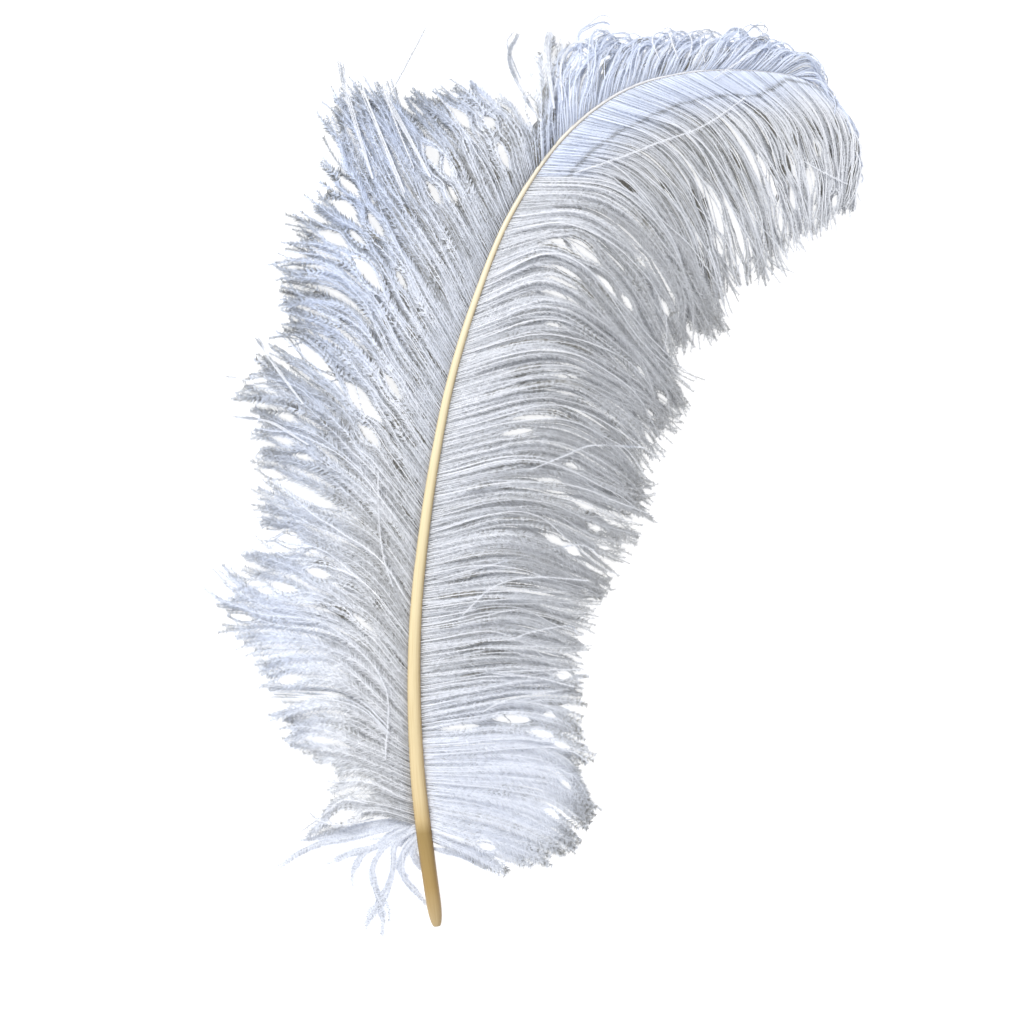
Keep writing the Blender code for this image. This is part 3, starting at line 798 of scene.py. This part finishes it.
# ---- Right vane --------------------------------------------------------------------------
# The row of barbs that is rooted in the shaft's right side, of the same soft white keratin. They
# arch out and sweep back towards the quill in ropes, and are fluffy and whiter at the foot.
RIGHT_BARBS = [
    (50, (-45, -206), (-30, -217)),
    (58, (-30, -200), (-1, -208)),
    (70, (-22, -186), (14, -202)),
    (94, (-12, -152), (11, -159), (25, -178)),
    (108, (-20, -136), (6, -142), (17, -149)),
    (116, (-20, -121), (18, -120)),
    (140, (-22, -103), (18, -108)),
    (161, (-22, -80), (20, -90)),
    (183, (-16, -60), (30, -70)),
    (217, (-11, -20), (43, -46)),
    (238, (-8, -2), (59, -18)),
    (261, (0, 25), (39, 10), (57, -12)),
    (295, (5, 59), (40, 45), (65, 23)),
    (330, (3, 92), (38, 75), (70, 42)),
    (358, (11, 119), (55, 72), (76, 44)),
    (385, (11, 136), (44, 116), (71, 72)),
    (412, (33, 153), (66, 125), (90, 84)),
    (450, (55, 177), (84, 140), (96, 90)),
    (475, (74, 186), (100, 150), (114, 112)),
    (493, (88, 193), (114, 153), (130, 108)),
    (538, (126, 199), (141, 165), (147, 134)),
    (576, (151, 199), (160, 170), (160, 141)),
    (602, (168, 193), (170, 147)),
    (634, (176, 178), (171, 152)),
]
RIGHT_OPENINGS = [
    (16, 128, 32, 8), (23, 127, 28, 7.5), (15, 114, 21, 3), (13, 109, 20, 3), (10, 102, 15, 2),
    (37, 107, 16, 3.5), (48, 98, 11, 3.5), (55, 121, 10, 3.5), (69, 96, 11, 3), (8, 85, 11, 2.5),
    (12, 57, 9, 2),
    (-2, 35, 30, 4), (-13, 27, 20, 4), (18, 8, 10, 3), (55, 62, 9, 3), (67, 47, 10, 5),
    (61, 38, 7, 4), (60, 25, 10, 3), (7, -1, 16, 3), (10, -6, 15, 3.5), (24, -14, 9, 3),
    (30, -26, 7, 3.5), (8, -32, 10, 3.5), (18, -39, 9, 4.5), (35, -37, 7, 4), (25, -61, 6, 3),
    (13, -108, 9, 6), (97, 150, 35, 6), (109, 137, 33, 5), (123, 173, 18, 3), (130, 161, 18, 3.5),
    (133, 145, 18, 4.5), (139, 175, 18, 3.5), (140, 156, 14, 2.5), (153, 184, 11, 3),
    (151, 168, 12, 3.5), (164, 157, 8, 4), (99, 132, 10, 5), (-44, -136, 22, 3.5),
    (-15, -131, 21, 4), (1, -140, 13, 4.5), (12, -146, 10, 5), (6, -130, 6, 3), (-30, -202, 11, 5),
    (7, -184, 9, 3), (15, -167, 7, 4),
]


def right_cool(start, d):
    """Painted sky light: bluish at the foot."""
    return 0.24 - 0.08 * ramp_up(d, 30, 80) + 0.2 * (1 - ramp_up(start, 90, 150))


def right_light(start, d):
    """Greyer towards the edge, and whiter at the foot."""
    foot = (0.2 - 0.2 * ramp_up(d, 55, 95)) * (1 - ramp_up(start, 90, 130))
    return 1.05 - 0.23 * ramp_up(d, 30, 75) * ramp_up(start, 110, 200) + foot


def right_shade(start, d):
    """Dim between the ropes of barbs, and lighter further out and at the foot."""
    ropes = np.interp(d, [0, 8, 45, 75], [0.68, 0.60, 0.52, 0.64])
    return np.maximum(ropes, 0.85 - 0.35 * ramp_up(start, 95, 125))


RIGHT_UPPER = LEFT_UPPER | {
    "tuft_widths": (2, 6), "pull": ([0.03, 0.15, 0.4, 0.7, 1], [0, 0.3, 0.36, 0.2, 0.4]),
    "lock_pull": ([0.2, 0.6], [0, 0.2]), "loose": 0.07, "lock_swing": 0.03, "restless": 1,
    "wander": 0.25, "hook": lambda s: -0.1 + 0 * s,
    "stretch": lambda s: np.interp(s, [60, 100, 150, 240, 340], [1.15, 1.16, 1.13, 1.08, 1.13]),
    "uneven": 0.06, "pointed": 0.05, "settle": 0.5, "reach": 1.5, "crossing": 0.3, "slits": 130,
    "slit_shares": (0.2, 0.6), "slit_lengths": (10, 26), "slit_widths": (0.8, 2.2),
    "slit_tones": (0.25, 0.55), "slit_lift": lambda s: 0, "light": right_light, "cool": right_cool,
    "crisp": lambda s, d: 1 - 0.85 * ramp_up(d, 8, 25),
    "even": lambda s, d: 0.25 + 0.3 * ramp_up(d, 30, 70), "bright": 0.25, "fade": lambda s: 0.85,
    "widths": (0.36, 0.24), "hair": 2.8, "loose_hair": 0.45, "patches": lambda s: (0.86, 1.08),
    "lean": lambda s: 0.66, "fall": lambda s: 0, "tip": lambda s: 1 - 0.55 * ramp_up(s, 100, 150),
    "tip_shares": (0.75, 1), "sides": lambda s: 0.8, "rim": 0.5}
# painted shade: the lower layer is painted darker, except at the foot and towards the tips
RIGHT_LOWER = RIGHT_UPPER | {
    "spacing": 1.6, "depth": 1.6, "pull": ([0.1, 0.6], [0, 0.15]), "lock_pull": ([0.2, 0.6], [0, 0.1]),
    "loose": 0, "lock_swing": 0.01, "swing": 0.01, "restless": 0.3, "slits": 0, "reach": 3,
    "stretch": lambda s: RIGHT_UPPER["stretch"](s) - 0.03,
    "light": lambda s, d: np.maximum(np.interp(d, [10, 50, 80], [0.84, 0.84, 0.95]),
                                     0.95 - 0.2 * ramp_up(s, 95, 125)) * right_light(s, d),
    "hair": 3.4, "shade": right_shade, "shade_share": 0.97}
right_vane = plant_vane("right_vane", RIGHT_BARBS, RIGHT_OPENINGS, 50, 434, (180, 290, 360),
                        (RIGHT_UPPER, RIGHT_LOWER))

# ---- Tip ---------------------------------------------------------------------------------
# The right row of barbs goes on to the shaft's end. They lie smoothly side by side, tinted with painted
# bluish sky light from their roots to a thin painted shadow line, as of a stray strand, that crosses
# them, and hang down in separate ropes beyond it.


def past_shadow_line(start, d):
    """How far the distances along a barb lie beyond the painted shadow line that crosses the tip."""
    return d - np.interp(start, [430, 490, 550, 585], [19, 27, 26, 5])


def tip_cool(start, d):
    """Painted sky light: bluish inside the painted shadow line."""
    return 0.2 + 0.65 * (1 - ramp_up(past_shadow_line(start, d), -12, 25))


def tip_light(start, d):
    """Painted shadow: dim along the thin line where a stray strand's shadow crosses the barbs, and greyer
    outside it.
    """
    out = past_shadow_line(start, d)
    grey = 0.08 * ramp_up(out, 0, 30) + 0.10 * ramp_up(-start, -540, -480) * ramp_up(out, -5, 10)
    return (1.06 - grey) * (1 - 0.55 * np.exp(-(out / 1.1) ** 2))


def outside(start, d):
    """0 inside the painted shadow line, where ridges are soft and hairs alike, and 1 outside it."""
    return ramp_up(past_shadow_line(start, d), -4, 6)


TIP_UPPER = RIGHT_UPPER | {
    "pull": ([0.1, 0.5, 1], [0, 0.35, 0.75]), "lock_pull": ([0.4, 1], [0, 0.55]),
    "stretch": lambda s: 1.06 + 0 * s, "pointed": 0.08, "settle": 0.2, "reach": 3, "crossing": 0.5,
    "slits": 110, "slit_shares": (0.35, 0.85), "slit_lengths": (8, 20), "slit_widths": (0.8, 1.8),
    "slit_tones": (0.02, 0.2), "light": tip_light, "cool": tip_cool,
    "crisp": lambda s, d: 0.1 + 0.9 * outside(s, d), "even": lambda s, d: 0.92 - 0.42 * outside(s, d),
    "bright": 0.6, "fade": lambda s: 0, "widths": (0.45, 0.42), "hair": 1.8, "sides": lambda s: 0.5}
# painted shade: the lower layer is painted darker
TIP_LOWER = TIP_UPPER | {
    "spacing": 1.6, "depth": 1.6, "loose": 0, "lock_swing": 0.015, "swing": 0.03, "restless": 0.5,
    "slits": 0, "reach": 4.5, "light": lambda s, d: 0.9 * tip_light(s, d), "hair": 2.4,
    "shade": lambda s, d: np.interp(past_shadow_line(s, d), [-8, 10, 30], [0.95, 0.5, 0.4]),
    "shade_share": 0.75}
tip_vane = plant_vane("tip_vane", RIGHT_BARBS, RIGHT_OPENINGS, 426, 641, (510,), (TIP_UPPER, TIP_LOWER))

# ---- Down at the foot --------------------------------------------------------------------
# Soft white down where the vanes begin: short dense hairs all round a few limp strands, which
# spring from the shaft's sides and lie beside the quill. They grew there with the barbs.
DOWN = [
    [(-67, -188), (-80, -195), (-89, -202), (-99, -205), (-110, -209), (-118, -211.5)],
    [(-67, -191), (-84, -200), (-96, -206), (-102, -214), (-105, -224)],
    [(-67, -193), (-84, -201), (-92, -212), (-92.5, -220), (-90, -230), (-87, -240), (-87, -251)],
    [(-67, -190), (-80, -202), (-81, -212), (-83, -222), (-88, -232), (-93, -240), (-97, -248)],
    [(-66, -194), (-75, -205), (-77, -213), (-75, -221), (-69, -229), (-62.5, -236)],
    [(-66, -196), (-70, -204), (-69, -210), (-67, -214), (-64.5, -217.5)],
    [(-66, -197), (-73, -203), (-78, -214), (-74, -221)],
    [(-66, -187), (-85, -193), (-108, -198), (-126, -203), (-145, -213)],
    [(-66, -186), (-88, -190), (-110, -195), (-133, -200)],
    [(-66, -184), (-78, -189), (-92, -191), (-104, -192)],
    [(-66, -186), (-76, -192), (-86, -198), (-94, -200)],
    [(-66, -189), (-74, -197), (-79, -203)],
    [(-66, -192), (-70, -198), (-74, -206)],
    [(-62, -203), (-52, -205.5), (-40, -209), (-30, -215)],
]
LONG_ROUTE = 4            # points; longer ones have more strands
DOWN_POINTS = 23
FEWEST_POINTS = 18        # in a strand that is cut short
down_chance = np.random.default_rng(5)
strands = []
for route in DOWN:
    for copy in range(8 if len(route) > LONG_ROUTE else 6):
        jitter = down_chance.normal(0, 1, (len(route), 2)) * np.linspace(0.3, 1.3, len(route))[:, None]
        kept = down_chance.integers(FEWEST_POINTS, DOWN_POINTS + 1)
        plan = smooth(np.array(route) + jitter, DOWN_POINTS)[:kept]
        part = np.linspace(0, 1, len(plan))
        height = 0.9 + 3.6 * (1 - part) ** 2 + down_chance.uniform(0, 1.2) * np.sin(np.pi * part)
        strands.append(strand_parts(np.column_stack([plan, height]), bare=1.5, chance=down_chance,
                                    light=lambda d: np.full_like(d, 0.92),
                                    cool=lambda d: np.full_like(d, 0.45), hair=2.1,
                                    widths=(0.4, 0.3), ridge_tone=1.05,
                                    even=lambda d: np.full_like(d, 0.5),
                                    stark=lambda d: 0.25 * ramp_up(d, 20, 60), lean=0.95,
                                    spacing=0.34))
join_strands("down", strands)

# ---- Loose strands -----------------------------------------------------------------------
# Barbs that have slipped out of their rows and lie across the vanes, and wisps that stand past
# the vanes' edge. They too are rooted in the shaft. Each is told by the points that it passes,
# from its thick end, and lies on the barbs beneath it.
LOOSE = [
    [(-88.4, 4.6), (-88.4, -17), (-86.2, -39.8), (-80.7, -58.1)],
    [(-85.3, -153.5), (-83.6, -120.5), (-90.8, -101.2)],
    [(-5.5, 6), (14, 14), (29, 19.5), (59, 18.7)],
    [(-42.5, -73.5), (-25.7, -58.1), (-3.7, -52.8), (27, -55)],
    [(-28.6, -88), (-14.9, -86.7), (-3.9, -83), (16, -80.1), (21.3, -85.2)],
    [(-55, -53.7), (-25.7, -45.7), (13.2, -36.1), (25.7, -36.1), (33, -41.9)],
    [(-31.5, -127), (-18.3, -120.5), (7.3, -116)],
    [(-25.7, -105.8), (0, -108.7), (11, -111.7), (19, -113.9)],
    [(-24.2, -105), (0, -104.4), (22, -104.3)],
    [(18.7, 167.8), (47.9, 178.2), (65.5, 185.4), (89.7, 194.7), (112.8, 210.7)],
    [(95.2, 221.1), (107.3, 229.4), (121, 237.6)],
    [(145.8, 176.6), (158, 170), (170.5, 164.5)],
    [(-82.5, 215), (-74, 231.6), (-63.3, 252)],
    [(-74, 154.5), (-85, 182), (-98, 218)],
    [(-69, 171), (-80, 198.5), (-86, 216)],
    [(-156.2, 52.8), (-166, 57), (-174.4, 58.3)],
    [(66, 230.5), (61.6, 241.5), (64.9, 248), (70.4, 247.5), (72.6, 241.5), (70.4, 234.3)],
    [(75.9, 231.6), (72.6, 242.6), (77, 248.6), (82.5, 246.4), (83.6, 239.8), (81.4, 232.7)],
    [(90.8, 230.5), (88.6, 241.5), (91.3, 248.6), (96.8, 249.7), (100.1, 244.8)],
    [(-8.8, 219), (-15.4, 235), (-18.2, 244), (-14.3, 250)],
    [(93, 128), (97, 118), (100.5, 107.8)],
    [(-95, -178), (-108, -176), (-117, -182), (-125, -189), (-133, -195)],
    [(-92, -187), (-110, -190), (-122, -188), (-128, -184)],
]
WISPS = [                 # the way of each thin tuft of WISP_STRANDS strands
    [(-83, -136), (-96, -123.5), (-111, -117), (-131, -115.5), (-153, -113)],
    [(-83, -139), (-96, -126.5), (-111, -120), (-131, -118.5), (-150, -118)],
    [(-92, 166), (-104, 204), (-109, 222), (-111, 233)],
    [(-74, 158), (-88, 192), (-97, 214), (-99, 222)],
    [(-60, 166), (-76, 196), (-84, 211), (-86, 221)],
    [(1, 196), (-9, 214), (-17, 235), (-12, 248)],
    [(8, 203), (5, 225), (4, 240), (6, 249)],
    [(12, 208), (11, 228), (17, 240), (24, 242)],
    [(-130, 42), (-144, 60), (-151, 70), (-157, 79)],
    [(-128, 20), (-148, 32), (-160, 35), (-170, 36)],
]
WISP_STRANDS = 4
STRAND_POINTS = 33
LIES_ABOVE = 1.5          # the barbs beneath
STRAND_LOOKS = (0.96, 1.8)    # lightness, and length of the hairs
WISP_LOOKS = (0.84, 1.1)
EDGE_TONE = 0.54          # lightness of both, where they stand past the barbs
EDGE_HAIR = 2.3
CELL = 4                  # of a chart of how high the barbs lie, 120 cells wide and 150 long
chart = np.zeros((120, 150))
CHART_CORNER = (-220, -290)


def cells_of(plan):
    """The chart's cells that points lie in."""
    column, line = ((plan - CHART_CORNER) / CELL).astype(int).T
    return np.clip(column, 0, chart.shape[0] - 1), np.clip(line, 0, chart.shape[1] - 1)


def levelled(numbers, count):
    """Running mean over a count of points."""
    return np.convolve(np.pad(numbers, count // 2, mode="edge"), np.ones(count) / count, mode="valid")


for layers in (left_vane, top_vane, right_vane, tip_vane):
    spots = layers[0][0]["courses"].reshape(-1, 3)
    np.maximum.at(chart, cells_of(spots[:, :2]), spots[:, 2])
loose_chance = np.random.default_rng(9)
strands = []
for route in LOOSE + WISP_STRANDS * WISPS:
    plan = smooth(route, STRAND_POINTS)
    tone, hair = WISP_LOOKS if route in WISPS else STRAND_LOOKS
    if route in WISPS:
        plan += loose_chance.normal(0, 1, 2) * np.linspace(0.3, 1, STRAND_POINTS)[:, None]
    beneath = chart[cells_of(plan)]
    over = levelled(beneath > 1, 3)
    course = np.column_stack([plan, levelled(beneath, 13) + LIES_ABOVE])
    run = run_along(course)
    strands.append(strand_parts(course, bare=0.5, chance=loose_chance,
                                light=lambda d: np.interp(d, run, EDGE_TONE + (tone - EDGE_TONE) * over),
                                cool=lambda d: np.interp(d, run, 0.75 - 0.5 * over),
                                hair=EDGE_HAIR + (hair - EDGE_HAIR) * over, widths=(0.42, 0.3)))
join_strands("loose_strands", strands)

# ---- Table, light and camera -------------------------------------------------------------
# Not part of the plume: a plain pale table, one large soft light from the upper left in a pale
# room, and a camera that looks straight down.
table = bpy.data.meshes.new("table")
table.from_pydata([(-3, -3, 0), (3, -3, 0), (3, 3, 0), (-3, 3, 0)], [], [(0, 1, 2, 3)])
paper = bpy.data.materials.new("paper")
paper.use_nodes = True
shader = paper.node_tree.nodes["Principled BSDF"]
shader.inputs["Base Color"].default_value = (0.5, 0.5, 0.5, 1)
shader.inputs["Emission Color"].default_value = (1, 1, 1, 1)
shader.inputs["Emission Strength"].default_value = 0.8
shader.inputs["Roughness"].default_value = 0.9
table.materials.append(paper)
table_top = bpy.data.objects.new("table", table)
bpy.context.scene.collection.objects.link(table_top)

light = bpy.data.lights.new("key", "AREA")
light.size = 1.2
light.energy = 130
light.color = (1, 0.985, 0.96)
lamp = bpy.data.objects.new("key", light)
lamp.location = (-1.8, 2.0, 3.0)
lamp.rotation_euler = (-lamp.location).to_track_quat("-Z", "Y").to_euler()
bpy.context.scene.collection.objects.link(lamp)
world = bpy.data.worlds.new("studio")
world.use_nodes = True
world.node_tree.nodes["Background"].inputs["Color"].default_value = (0.97, 0.975, 1, 1)
world.node_tree.nodes["Background"].inputs["Strength"].default_value = 0.75
bpy.context.scene.world = world
bpy.context.scene.view_settings.view_transform = "Standard"

VIEW_WIDTH = 0.5632       # metres across the picture
VIEW_CENTRE = (-0.0154, -0.01705)
LENS = 100
SENSOR = 36
lens = bpy.data.cameras.new("camera")
lens.lens = LENS
lens.sensor_width = SENSOR
camera = bpy.data.objects.new("camera", lens)
camera.location = (*VIEW_CENTRE, 0.018 + VIEW_WIDTH * LENS / SENSOR)
bpy.context.scene.collection.objects.link(camera)
bpy.context.scene.camera = camera
